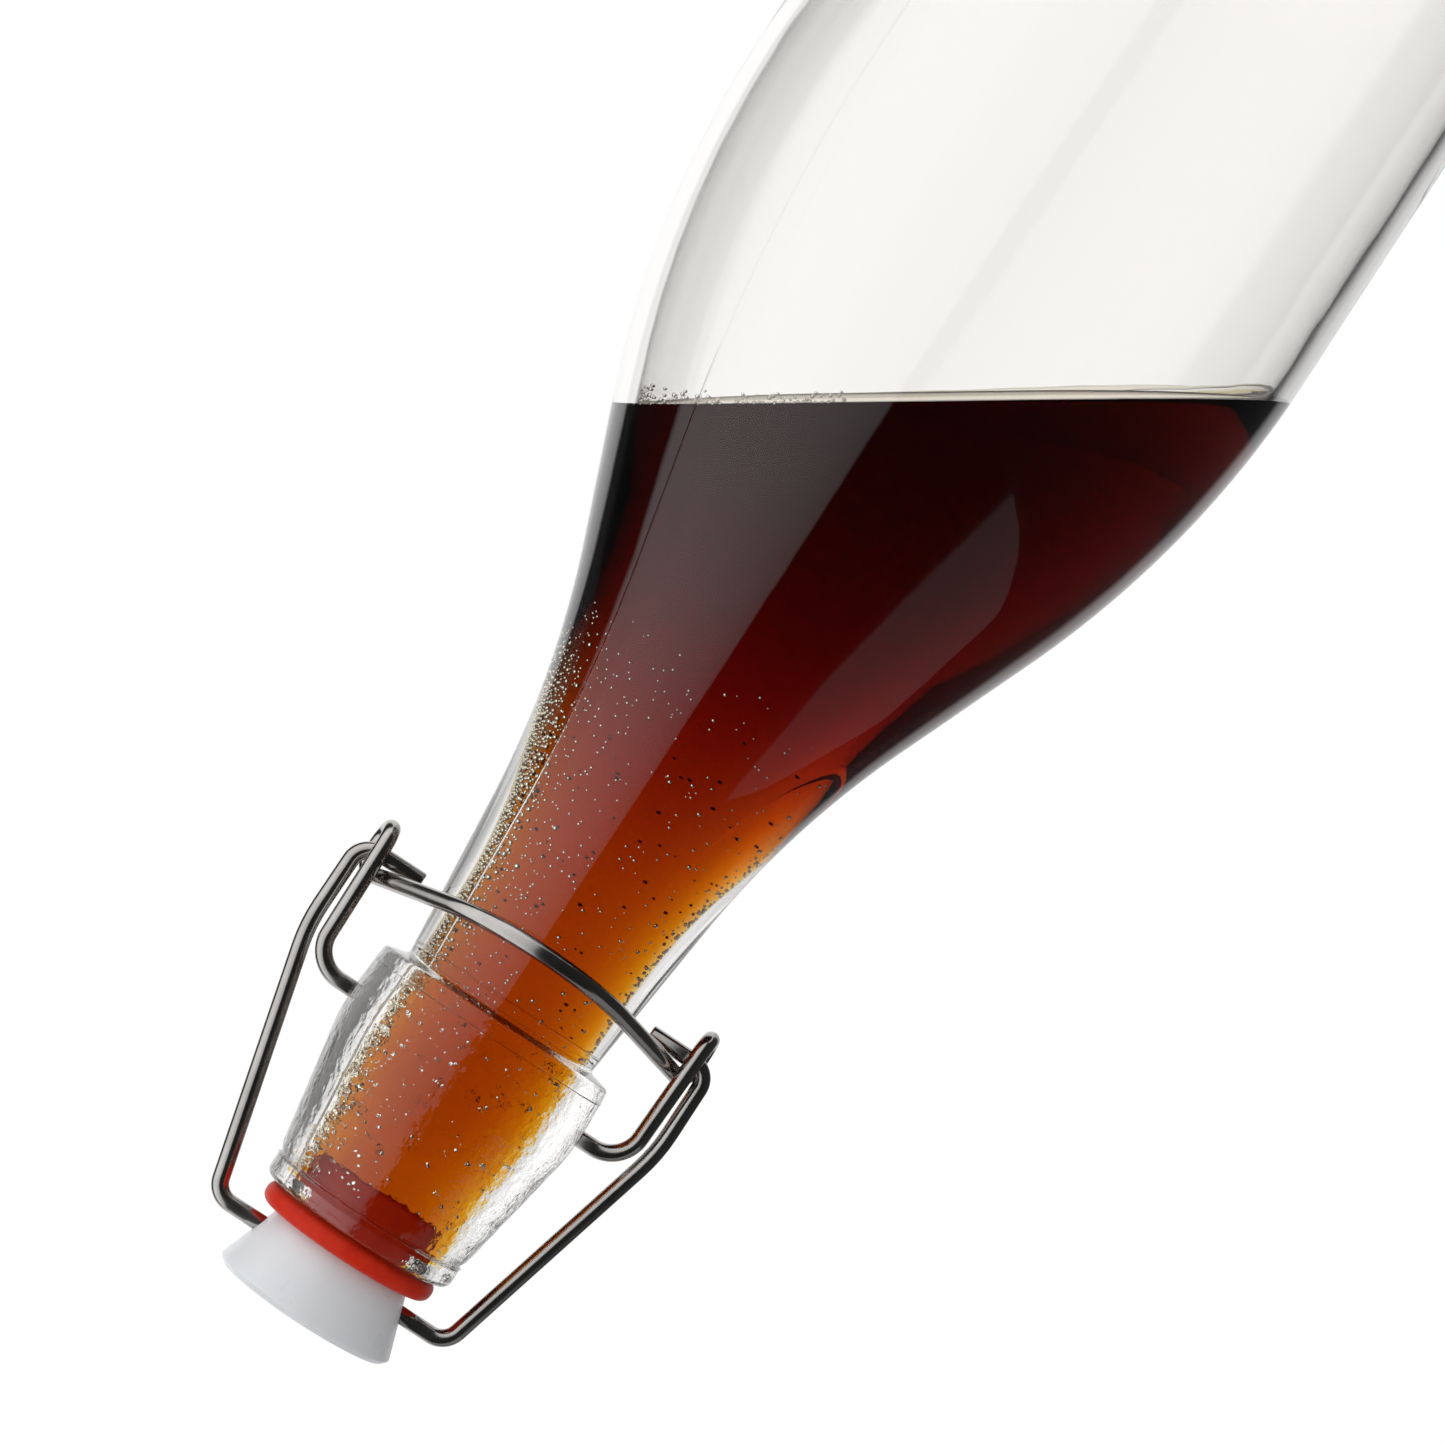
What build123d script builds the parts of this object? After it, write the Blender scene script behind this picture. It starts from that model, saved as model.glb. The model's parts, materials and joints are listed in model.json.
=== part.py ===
"""Swing-top growler: a one litre glass bottle closed by a wire bail, a lever and a sealed stopper.

Millimetres. +Z is up and z = 0 is the ring that the bottle stands on, with the bottle's axis on
the Z axis. The lever's bow is at the front, on -Y, and the lever turns about a line along X.
"""
from build123d import *
import os

os.makedirs("parts", exist_ok=True)

# ---- bottle: outside ------------------------------------------------------------------------
glass_height = 304.0
body_radius = 44.5
heel_radius = 6.0
ring_outer_radius = 38.0
ring_inner_radius = 33.0
push_up_height = 5.5

shoulder_corner_z = 164.6
shoulder_arc_radius = 142.0
throat_corner_z = 226.9
throat_corner_radius = 19.05
throat_arc_radius = 130.0

neck_top_z = 269.3
neck_top_radius = 14.65
barrel_bottom_z = 270.9
barrel_bottom_radius = 18.05
barrel_wide_z = 279.5
barrel_wide_radius = 18.4
barrel_top_z = 299.5
barrel_top_radius = 14.85
groove_radius = 14.0
lip_height = 3.3
lip_radius = 14.4
lip_edge_radius = 1.2

# ---- bottle: inside -------------------------------------------------------------------------
mouth_radius = 9.0
mouth_depth = 12.0
bore_radius = 10.0
bore_widening_z = 282.0
inner_throat_z = 238.0
inner_throat_radius = 10.6
inner_throat_arc = 110.0
wall = 2.8
inner_shoulder_drop = 1.6
inner_shoulder_arc = 139.0
inner_heel_radius = 9.0
floor_edge_z = 6.5
floor_centre_z = 10.5

# ---- closure wires --------------------------------------------------------------------------
wire_radius = 1.2
pivot_z = glass_height - 26.5
pivot_hole_radius = wire_radius + 0.10
pivot_hole_bottom = 15.9
tip_gap = 0.3
tip_chamfer = 0.25

lever_elbow_x = 25.0
lever_front_x = 25.5
lever_rear_x = 26.4
lever_elbow_radius = 4.7
loop_bottom_z = pivot_z - 20.8
loop_half_width = 3.0
loop_bend_radius = 2.85
bow_top_z = pivot_z - 13.8
bow_bend_radius = 2.4
bow_corner_y = -27.3
bow_corner_z = pivot_z - 19.7
bow_radius = 17.4

hook_y = 0.8
hook_z = pivot_z - 17.1
hook_tip_x = 18.5
hook_bend_radius = 2.8
bail_side_x = 28.2
bail_knee_z = pivot_z - 4.0
bail_knee_radius = 24.0
bail_top_x = 18.3
bail_top_radius = 3.0
bar_z = glass_height + 6.1

# ---- stopper and gasket ---------------------------------------------------------------------
seal_gap = 0.1
gasket_bottom_z = glass_height + seal_gap
gasket_top_z = glass_height + 3.1
gasket_radius = 13.15
gasket_rim_radius = 1.3
skirt_top_radius = 8.2
skirt_bottom_radius = 7.2
skirt_bottom_z = glass_height - 7.4
skirt_edge_radius = 0.8
stem_radius = 4.0
button_radius = 5.3
button_gap = 0.3
button_recess = 1.0
button_thickness = 0.8

cap_bottom_radius = 10.2
cap_rim_radius = 13.3
cap_rim_z = glass_height + 12.0
cap_bevel = 0.8
cap_top_z = glass_height + 13.8
bar_hole_radius = wire_radius + 0.05

# Two edges count as the same ring when their sizes agree this closely.
same = 0.01


# ---- bottle ---------------------------------------------------------------------------------
def outside_route():
    """Heel to neck: straight body, convex shoulder, concave throat and slightly tapered neck."""
    return FilletPolyline(
        (ring_outer_radius, 0),
        (body_radius, 0),
        (body_radius, shoulder_corner_z),
        (throat_corner_radius, throat_corner_z),
        (neck_top_radius, neck_top_z),
        radius=[heel_radius, shoulder_arc_radius, throat_arc_radius],
    )


def inside_route():
    """Floor to mouth, a little inside the outer route, with the thickest glass in the neck."""
    return FilletPolyline(
        (0, floor_centre_z),
        (body_radius - wall, floor_edge_z),
        (body_radius - wall, shoulder_corner_z - inner_shoulder_drop),
        (inner_throat_radius, inner_throat_z),
        (bore_radius, bore_widening_z),
        radius=[inner_heel_radius, inner_shoulder_arc, inner_throat_arc],
    )


with BuildPart() as bottle:
    with BuildSketch(Plane.XZ):
        with BuildLine():
            outside_route()
            # The closure's barrel: a collar under the lip that widens down to the pivots.
            Polyline(
                (neck_top_radius, neck_top_z),
                (barrel_bottom_radius, barrel_bottom_z),
                (barrel_wide_radius, barrel_wide_z),
                (barrel_top_radius, barrel_top_z),
                (groove_radius, glass_height - lip_height),
                (lip_radius, glass_height - lip_height),
                (lip_radius, glass_height),
                (mouth_radius, glass_height),
                (mouth_radius, glass_height - mouth_depth),
                (bore_radius, bore_widening_z),
            )
            inside_route()
            # The underside: a shallow dome inside the standing ring, level in the middle.
            Line((0, floor_centre_z), (0, push_up_height))
            TangentArc((0, push_up_height), (ring_inner_radius, 0), tangent=(1, 0))
            Line((ring_inner_radius, 0), (ring_outer_radius, 0))
        make_face()
    revolve(axis=Axis.Z)

    # The lip is rounded inside the mouth and outside.
    lip_rings = bottle.edges().filter_by(lambda ring: ring.center().Z > glass_height - same)
    fillet(lip_rings, lip_edge_radius)

    # A blind hole on each side of the barrel takes a tip of the lever.
    for side in (-1, 1):
        hole_floor = Plane(
            origin=(side * pivot_hole_bottom, 0, pivot_z),
            x_dir=(0, 1, 0),
            z_dir=(side, 0, 0),
        )
        with BuildSketch(hole_floor):
            Circle(pivot_hole_radius)
        extrude(amount=barrel_wide_radius, mode=Mode.SUBTRACT)

bottle.part.label = "bottle"
export_step(bottle.part, "parts/bottle.step")


# ---- closure wires --------------------------------------------------------------------------
def mirrored(half_route):
    """The whole wire's corners: the right half, then the same corners on the left, backwards."""
    left_half = [(-x, y, z) for x, y, z in reversed(half_route) if x != 0]
    return half_route + left_half


def bent_wire(corners, bends):
    """Sweep the round wire along straight runs joined by bends, and ease its two cut ends."""
    with BuildPart() as wire:
        with BuildLine() as route:
            FilletPolyline(*corners, radius=bends)
        with BuildSketch(Plane(origin=route.line @ 0, z_dir=route.line % 0)):
            Circle(wire_radius)
        sweep(path=route.line)
        chamfer(wire.faces().filter_by(GeomType.PLANE).edges(), tip_chamfer)
    return wire


# From a tip in the barrel, out and down the front leg, round the loop that holds the bail, up
# the rear leg, then inward over the bail's hook and forward into the bow in front of the neck.
lever_half = [
    (pivot_hole_bottom + tip_gap, 0, pivot_z),
    (lever_elbow_x, 0, pivot_z),
    (lever_front_x, hook_y - loop_half_width, loop_bottom_z),
    (lever_rear_x, hook_y + loop_half_width, loop_bottom_z),
    (lever_rear_x, hook_y + loop_half_width, bow_top_z),
    (0, bow_corner_y, bow_corner_z),
]
lever_half_bends = [lever_elbow_radius, loop_bend_radius, loop_bend_radius, bow_bend_radius]
lever_wire = bent_wire(
    mirrored(lever_half),
    lever_half_bends + [bow_radius] + lever_half_bends[::-1],
)
lever_wire.part.label = "lever_wire"
export_step(lever_wire.part, "parts/lever_wire.step")


def bail_lean(z):
    """How far back the bail's plane lies at a height: none at the bar, hook_y at the hooks."""
    return hook_y * (bar_z - z) / (bar_z - hook_z)


# A hook through each lever loop, up the sides and across through the stopper.
bail_half = [
    (hook_tip_x, hook_y, hook_z),
    (bail_side_x, hook_y, hook_z),
    (bail_side_x, bail_lean(bail_knee_z), bail_knee_z),
    (bail_top_x, 0, bar_z),
]
bail_half_bends = [hook_bend_radius, bail_knee_radius, bail_top_radius]
bail_wire = bent_wire(mirrored(bail_half), bail_half_bends + bail_half_bends[::-1])
bail_wire.part.label = "bail_wire"
export_step(bail_wire.part, "parts/bail_wire.step")


# ---- stopper --------------------------------------------------------------------------------
with BuildPart() as stopper:
    with BuildSketch(Plane.XZ):
        recess_z = skirt_bottom_z + button_recess
        with BuildLine():
            Polyline(
                (0, cap_top_z),
                (0, recess_z - button_thickness),
                (button_radius, recess_z - button_thickness),
                (button_radius, recess_z),
                (stem_radius, recess_z),
                (stem_radius, gasket_top_z),
                (cap_bottom_radius, gasket_top_z),
                (cap_rim_radius, cap_rim_z),
                (cap_rim_radius - cap_bevel, cap_rim_z + cap_bevel),
            )
            # The top is a shallow dome, level in the middle.
            TangentArc(
                (0, cap_top_z),
                (cap_rim_radius - cap_bevel, cap_rim_z + cap_bevel),
                tangent=(1, 0),
            )
        make_face()
    revolve(axis=Axis.Z)
    # The bail's bar turns in a cross hole.
    with BuildSketch(Plane.YZ):
        with Locations((0, bar_z)):
            Circle(bar_hole_radius)
    extrude(amount=cap_rim_radius, both=True, mode=Mode.SUBTRACT)

stopper.part.label = "stopper"
export_step(stopper.part, "parts/stopper.step")


# ---- gasket ---------------------------------------------------------------------------------
def rings_of_radius(part, radius):
    """The circular edges of one radius."""
    circles = part.edges().filter_by(GeomType.CIRCLE)
    return circles.filter_by(lambda ring: abs(ring.radius - radius) < same)


with BuildPart() as gasket:
    with BuildSketch(Plane.XZ):
        with BuildLine():
            Polyline(
                (stem_radius, gasket_top_z),
                (gasket_radius, gasket_top_z),
                (gasket_radius, gasket_bottom_z),
                (skirt_top_radius, gasket_bottom_z),
                (skirt_bottom_radius, skirt_bottom_z),
                (button_radius + button_gap, skirt_bottom_z),
                (button_radius + button_gap, skirt_bottom_z + button_recess),
                (stem_radius, skirt_bottom_z + button_recess),
                close=True,
            )
        make_face()
    revolve(axis=Axis.Z)
    fillet(rings_of_radius(gasket, gasket_radius), gasket_rim_radius)
    fillet(rings_of_radius(gasket, skirt_bottom_radius), skirt_edge_radius)

gasket.part.label = "gasket"
export_step(gasket.part, "parts/gasket.step")
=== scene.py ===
"""The looks of a swing-top growler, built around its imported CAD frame. Metres, +Z up.

The glass, the drink with its bubbles and foam, the closure's two wires, the stopper and the gasket
are lathed and swept meshes, each where the frame has its part, with procedural materials. The
studio is white behind the bottle, with a wide soft light on the +X side and a small high one on -X.
"""
import bisect
import json
import math
import random

import bmesh
import bpy
from mathutils import Matrix, Vector, noise


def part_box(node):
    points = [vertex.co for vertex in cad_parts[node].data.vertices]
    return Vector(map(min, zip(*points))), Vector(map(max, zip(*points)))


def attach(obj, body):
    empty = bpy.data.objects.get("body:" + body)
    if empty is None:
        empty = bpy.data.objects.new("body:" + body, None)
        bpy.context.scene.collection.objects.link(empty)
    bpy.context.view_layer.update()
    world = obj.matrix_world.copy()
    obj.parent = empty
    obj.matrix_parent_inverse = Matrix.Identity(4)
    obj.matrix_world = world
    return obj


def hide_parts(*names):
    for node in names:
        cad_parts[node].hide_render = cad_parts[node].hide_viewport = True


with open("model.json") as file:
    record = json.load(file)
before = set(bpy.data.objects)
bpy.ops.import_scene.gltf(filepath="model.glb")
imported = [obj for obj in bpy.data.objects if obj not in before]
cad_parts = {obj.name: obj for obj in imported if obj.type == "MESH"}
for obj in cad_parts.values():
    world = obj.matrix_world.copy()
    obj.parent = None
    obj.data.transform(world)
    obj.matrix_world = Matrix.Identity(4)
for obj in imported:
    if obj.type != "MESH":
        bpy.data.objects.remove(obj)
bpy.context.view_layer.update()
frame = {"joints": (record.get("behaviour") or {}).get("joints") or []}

MM = 0.001

# ---- places that the frame gives ----------------------------------------------------------------
lip_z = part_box("bottle")[1].z
body_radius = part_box("bottle")[1].x
joint_at = {joint["name"]: Vector(joint["pos_m"]) for joint in frame["joints"]}
pivot_z = joint_at["lever_turn"].z
hook_y = joint_at["bail_tilt"].y
hook_z = joint_at["bail_tilt"].z
bar_z = joint_at["stopper_level"].z

# ---- sizes: bottle, outside ---------------------------------------------------------------------
ring_inner_radius = 33.0 * MM
ring_outer_radius = 38.0 * MM
push_up_height = 5.5 * MM
heel_radius = 6.0 * MM
shoulder_corner_z = 164.6 * MM
shoulder_arc = 142.0 * MM
throat_corner = (19.05 * MM, 226.9 * MM)
throat_arc = 130.0 * MM
neck_top = (14.65 * MM, 269.3 * MM)
neck_top_round = 0.6 * MM
step_bottom = (17.95 * MM, 270.1 * MM)
step_round = 0.8 * MM
barrel_wide = (18.5 * MM, 279.5 * MM)
barrel_wide_arc = 28.0 * MM
barrel_top = (14.75 * MM, 299.3 * MM)
barrel_top_round = 1.6 * MM
groove_radius = 14.05 * MM
lip_height = 3.3 * MM
lip_radius = 14.45 * MM
lip_round = 1.3 * MM
groove_round = 0.35 * MM

# ---- sizes: bottle, inside ----------------------------------------------------------------------
mouth_radius = 9.0 * MM
mouth_depth = 12.0 * MM
bore_radius = 10.0 * MM
bore_widening_z = 282.0 * MM
bore_round = 6.0 * MM
inner_throat = (10.6 * MM, 238.0 * MM)
inner_throat_arc = 110.0 * MM
wall = 2.8 * MM
inner_shoulder_drop = 1.6 * MM
inner_shoulder_arc = 139.0 * MM
inner_heel_radius = 9.0 * MM
floor_edge_z = 6.5 * MM
floor_centre_z = 10.5 * MM

# ---- sizes: the glass's seams -------------------------------------------------------------------
seam_height = 0.07 * MM
seam_half_width = 0.22 * MM
back_seam_share = 0.4
seam_offset = 4.1 * MM
seam_facing = math.radians(35.7)
ring_seam_zs = (267.3 * MM, 272.2 * MM)

# ---- sizes: the glass's surface and mesh ---------------------------------------------------------
wave_size = 22.0 * MM
wave_height = 0.05 * MM
pebble_size = 1.5 * MM
pebble_height = 0.05 * MM
front_columns = 104
back_columns = 126
outer_chord = 0.9 * MM
inner_chord = 0.3 * MM

# ---- sizes: drink -------------------------------------------------------------------------------
drink_view_lift = math.radians(5.42)
drink_view_roll = math.radians(1.3)
drink_gap = 0.02 * MM
wet_rows = 130
dry_rows = 80
bend_stretch = 12.0 * MM
meniscus_height = 0.5 * MM
meniscus_reach = 0.5 * MM
meniscus_insets = [d * MM for d in (0.12, 0.3, 0.55, 0.9, 1.4, 2.1, 3.2, 5.0, 9.0)]

# ---- sizes: bubbles in the drink and beads of foam above it -------------------------------------
bead_flatness = 0.8
bead_clearance = 0.03 * MM
bead_spacing = 1.04
spot_cell = 0.9 * MM
cluster_count = 2300
cluster_tries = 6
cluster_facing = 95.0
cluster_spread = 12.0
cluster_from_z = 213.0 * MM
cluster_dense_z = 232.0 * MM
cluster_radii = (0.17 * MM, 0.41 * MM)
bubbles_to_z = 301.0 * MM
scatter_count = 1000
scatter_tries = 3
scatter_from_z = 216.0 * MM
scatter_front_facing = 76.0
scatter_left_facing = -78.0
scatter_back_facing = (125.0, 250.0)
edge_facing = -92.0
edge_spread = 9.0
edge_zs = (228.0 * MM, 270.0 * MM)
foam_peaks = 70
foam_beads_per_peak = 34
foam_height = 3.4 * MM
foam_facing = 97.0
foam_reach = 84.0
foam_peak_spread = 2.6
foam_thinning = 0.6
film_height = 1.15 * MM
film_thickness = 0.35 * MM
film_rim = 0.3
film_lowest = 0.25
film_rise = 2.4
film_steps = 4

# ---- sizes: closure wires -----------------------------------------------------------------------
wire_radius = 1.2 * MM
wire_tip_round = 0.25 * MM
lever_tip_x = 16.2 * MM
lever_elbow_x = 25.0 * MM
lever_front_x = 25.5 * MM
lever_rear_x = 26.4 * MM
lever_elbow_radius = 4.7 * MM
loop_bottom_z = pivot_z - 20.8 * MM
loop_half_width = 3.0 * MM
loop_bend_radius = 2.85 * MM
bow_top_z = pivot_z - 13.8 * MM
bow_bend_radius = 2.4 * MM
bow_corner = (0.0, -27.3 * MM, pivot_z - 19.7 * MM)
bow_radius = 17.4 * MM
hook_tip_x = 18.5 * MM
hook_bend_radius = 2.8 * MM
bail_side_x = 28.2 * MM
bail_knee_z = pivot_z - 4.0 * MM
bail_knee_radius = 24.0 * MM
bail_top_x = 18.3 * MM
bail_top_radius = 3.0 * MM

# ---- sizes: stopper and gasket ------------------------------------------------------------------
seal_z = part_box("gasket")[1].z
gasket_low_z = lip_z + 0.1 * MM
gasket_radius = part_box("gasket")[1].x
gasket_rim_round = 1.35 * MM
skirt_top_radius = 8.2 * MM
skirt_bottom_radius = 7.2 * MM
skirt_bottom_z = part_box("gasket")[0].z
skirt_round = 0.8 * MM
stem_radius = 4.0 * MM
button_radius = 5.3 * MM
button_gap = 0.3 * MM
button_recess = 1.0 * MM
button_thickness = 0.8 * MM
cap_bottom_radius = 10.2 * MM
cap_rim_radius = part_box("stopper")[1].x
cap_rim_z = lip_z + 12.0 * MM
cap_bevel = 0.8 * MM
cap_top_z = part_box("stopper")[1].z
dome_share = 0.97
dome_steps = 13
bar_hole_radius = wire_radius + 0.05 * MM

# ---- the camera ---------------------------------------------------------------------------------
camera_aim = Vector((-3.4 * MM, 0.0, 219.9 * MM))
camera_distance = 450.0 * MM
camera_azimuth = math.radians(2.5)
camera_elevation = math.radians(5.4)
camera_roll = math.radians(213.5)
camera_lens = 82.3
camera_sensor = 36.0

# ---- the studio: lists are (degrees from +Y towards +X, brightness) -----------------------------
# What the bottle bends into view: white behind it, with a dark card on the -X side.
bent_levels = [
    (-180, 0.8), (-150, 0.9), (-75, 0.6), (-60, 0.3), (-45, 0.2), (-36, 0.3), (-26, 0.62),
    (-18, 0.9), (-13, 1.02), (-6, 1.12), (10, 1.12), (16, 1.2), (24, 1.6), (34, 1.6), (50, 1.2),
    (180, 0.8),
]
# What glass and steel mirror: the white behind, then the wide soft light from 80 to 173 degrees.
mirrored_levels = [
    (-180, 0.02), (-40, 0.05), (-34, 0.55), (-10, 0.75), (0, 1.0), (37, 1.0), (40, 0.03),
    (79, 0.03), (82, 1.1), (110, 1.3), (135, 1.2), (160, 0.9), (173, 0.65), (174, 0.02),
]
# The same higher up, where a faint second light stands on the -X side.
mirrored_high_levels = [
    (-180, 0.02), (-124, 0.02), (-123, 0.28), (-54, 0.28), (-52, 0.05), *mirrored_levels[1:],
]
high_light_elevation = math.radians(18)
# What lights the stopper and the gasket.
lighting_levels = [
    (-180, 0.36), (-123, 0.5), (-54, 0.4), (-23, 0.73), (37, 0.73), (60, 0.57), (82, 0.97),
    (173, 0.97), (180, 0.36),
]
# Steeper than this, the glass bends the dark room into view and not the white behind the bottle.
backdrop_elevation = math.radians(40)
dark_level = 0.06
# The empty body shows a lighter room: light crosses four surfaces there, and more in the drink.
hollow_crossings = 4.0
hollow_light = 0.75
floor_radius = 0.10
floor_drop = 0.05 * MM
floor_sides = 96
floor_glow = 0.75

# ---- glass and drink ----------------------------------------------------------------------------
glass_ior = 1.5
drink_ior = 1.33
glass_tint = (0.985, 0.974, 0.960, 1.0)
drink_colour = (0.901, 0.735, 0.0)
drink_density = 650.0


# =================================================================================================
# Geometry helpers
# =================================================================================================
def rounded(corners, radii, step=math.radians(3), longest=math.inf):
    """The open route through corners, with an arc of its own radius at each inner corner. An arc's
    chords turn by no more than step and are no longer than longest."""
    corners = [Vector(c) for c in corners]
    route = [corners[0]]
    for before, here, after, radius in zip(corners, corners[1:], corners[2:], radii):
        back = (before - here).normalized()
        ahead = (after - here).normalized()
        turn = math.pi - back.angle(ahead)
        if radius == 0 or turn < 1e-6:
            route.append(here)
            continue
        centre = here + (back + ahead).normalized() * radius / math.cos(turn / 2)
        start = here + back * radius * math.tan(turn / 2) - centre
        axis = ahead.cross(back).normalized()
        count = max(2, math.ceil(turn / step), math.ceil(turn * radius / longest))
        for i in range(count + 1):
            route.append(centre + Matrix.Rotation(turn * i / count, 3, axis) @ start)
    route.append(corners[-1])
    return route


def divided(route, longest):
    """The route with extra points on it, so that no step is longer than longest."""
    made = [route[0]]
    for a, b in zip(route, route[1:]):
        count = max(1, math.ceil((b - a).length / longest - 1e-6))
        made += [a.lerp(b, i / count) for i in range(1, count + 1)]
    return made


def side_view(radius_z_pairs):
    """Corners in the XZ plane from (radius, z) pairs."""
    return [(radius, 0.0, z) for radius, z in radius_z_pairs]


def new_piece(name, points, faces, smooth=True):
    """A mesh object from points and faces, in the scene."""
    mesh = bpy.data.meshes.new(name)
    mesh.from_pydata([tuple(p) for p in points], [], faces)
    mesh.polygons.foreach_set("use_smooth", [smooth] * len(mesh.polygons))
    mesh.validate()
    mesh.update()
    shell = bmesh.new()
    shell.from_mesh(mesh)
    if shell.calc_volume(signed=True) < 0:
        bmesh.ops.reverse_faces(shell, faces=shell.faces)
        shell.to_mesh(mesh)
    shell.free()
    piece = bpy.data.objects.new(name, mesh)
    bpy.context.scene.collection.objects.link(piece)
    return piece


def grid_faces(rows, columns, first=0):
    """Quads over rows of points, where each row closes on itself."""
    faces = []
    for r in range(rows - 1):
        low = first + r * columns
        high = low + columns
        for c in range(columns):
            n = (c + 1) % columns
            faces.append((low + c, low + n, high + n, high + c))
    return faces


def lathed(name, profile, angles):
    """A closed solid of revolution. The profile runs from axis to axis, or is a loop."""
    points, rows = [], []
    for p in profile:
        if p.x < 1e-7:
            rows.append([len(points)])
            points.append((0.0, 0.0, p.z))
            continue
        rows.append(list(range(len(points), len(points) + len(angles))))
        points += [(p.x * math.cos(a), p.x * math.sin(a), p.z) for a in angles]
    looped = len(rows[0]) > 1
    faces = []
    for low, high in zip(rows, rows[1:] + rows[:1] if looped else rows[1:]):
        for c in range(len(angles)):
            n = (c + 1) % len(angles)
            corners = (low[c % len(low)], low[n % len(low)],
                       high[n % len(high)], high[c % len(high)])
            faces.append(tuple(dict.fromkeys(corners)))
    return new_piece(name, points, faces)


def even_angles(count):
    """Angles once around, evenly spaced."""
    return [2 * math.pi * i / count for i in range(count)]


def swept_wire(name, route, radius, tip_round, sides=40):
    """A round wire along the route, with eased cut ends."""
    tangents = []
    for i in range(len(route)):
        a = route[max(i - 1, 0)]
        b = route[min(i + 1, len(route) - 1)]
        tangents.append((b - a).normalized())
    across = tangents[0].orthogonal().normalized()
    rings = []
    for i, (point, tangent) in enumerate(zip(route, tangents)):
        if i:
            turn = tangents[i - 1].rotation_difference(tangent)
            across = (turn @ across).normalized()
        rings.append((point, tangent, across))
    first, last = rings[0], rings[-1]
    bevel = tip_round * 0.3
    ease = [(0.0, radius - tip_round), (bevel, radius - bevel), (tip_round, radius)]
    stations = [(first[0] + first[1] * d, first[1], first[2], r) for d, r in ease]
    stations += [(p, t, a, radius) for p, t, a in rings[1:-1]]
    stations += [(last[0] - last[1] * d, last[1], last[2], r) for d, r in reversed(ease)]
    points = []
    for point, tangent, side, r in stations:
        other = tangent.cross(side)
        for angle in even_angles(sides):
            points.append(point + (side * math.cos(angle) + other * math.sin(angle)) * r)
    faces = grid_faces(len(stations), sides)
    faces.append(tuple(range(sides))[::-1])
    faces.append(tuple(range((len(stations) - 1) * sides, len(stations) * sides)))
    return new_piece(name, points, faces)


def carved(piece, cutters):
    """The piece with the cutters' shapes taken out of it."""
    for cutter in cutters:
        cut = piece.modifiers.new("cut", "BOOLEAN")
        cut.operation = "DIFFERENCE"
        cut.solver = "EXACT"
        cut.object = cutter
    graph = bpy.context.evaluated_depsgraph_get()
    mesh = bpy.data.meshes.new_from_object(piece.evaluated_get(graph))
    piece.modifiers.clear()
    piece.data = mesh
    for cutter in cutters:
        bpy.data.objects.remove(cutter)
    return piece


# =================================================================================================
# Bottle
# =================================================================================================
def outer_route():
    """Standing ring to mouth, up the outside."""
    corners = side_view([
        (ring_inner_radius, 0.0),
        (ring_outer_radius, 0.0),
        (body_radius, 0.0),
        (body_radius, shoulder_corner_z),
        throat_corner,
        neck_top,
        step_bottom,
        barrel_wide,
        barrel_top,
        (groove_radius, lip_z - lip_height),
        (lip_radius, lip_z - lip_height),
        (lip_radius, lip_z),
        (mouth_radius, lip_z),
        (mouth_radius, lip_z - 1.5 * lip_round),
    ])
    radii = [0, heel_radius, shoulder_arc, throat_arc, neck_top_round, step_round, barrel_wide_arc,
             barrel_top_round, groove_round, groove_round, lip_round, lip_round]
    return rounded(corners, radii, longest=outer_chord)


def inner_route():
    """Just inside the mouth to the middle of the floor, down the inside."""
    corners = side_view([
        (mouth_radius, lip_z - 1.5 * lip_round),
        (mouth_radius, lip_z - mouth_depth),
        (bore_radius, bore_widening_z),
        inner_throat,
        (body_radius - wall, shoulder_corner_z - inner_shoulder_drop),
        (body_radius - wall, floor_edge_z),
        (0.0, floor_centre_z),
    ])
    radii = [bore_round, bore_round * 5, inner_throat_arc, inner_shoulder_arc, inner_heel_radius]
    return rounded(corners, radii, step=math.radians(1.5), longest=inner_chord)


def push_up_route():
    """Middle of the underside to the standing ring: a shallow dome."""
    dome_radius = (ring_inner_radius**2 + push_up_height**2) / (2 * push_up_height)
    count = 24
    made = []
    for i in range(count):
        r = ring_inner_radius * i / count
        drop = dome_radius - math.sqrt(dome_radius**2 - r**2)
        made.append(Vector((r, 0.0, push_up_height - drop)))
    return made


class Ruler:
    """A route with a scale along it that runs slowly round bends, so that even steps follow it."""

    def __init__(self, route):
        self.route = divided(route, 1.0 * MM)
        self.marks = [0.0]
        for i in range(1, len(self.route)):
            step = self.route[i] - self.route[i - 1]
            bend = 0.0
            if i + 1 < len(self.route):
                bend = step.angle(self.route[i + 1] - self.route[i])
            self.marks.append(self.marks[-1] + step.length + bend * bend_stretch)
        self.end = self.marks[-1]

    def at(self, mark):
        """The point at a mark on the scale."""
        i = min(max(bisect.bisect_right(self.marks, mark), 1), len(self.marks) - 1)
        a, b = self.marks[i - 1], self.marks[i]
        return self.route[i - 1].lerp(self.route[i], (mark - a) / (b - a))


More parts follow.
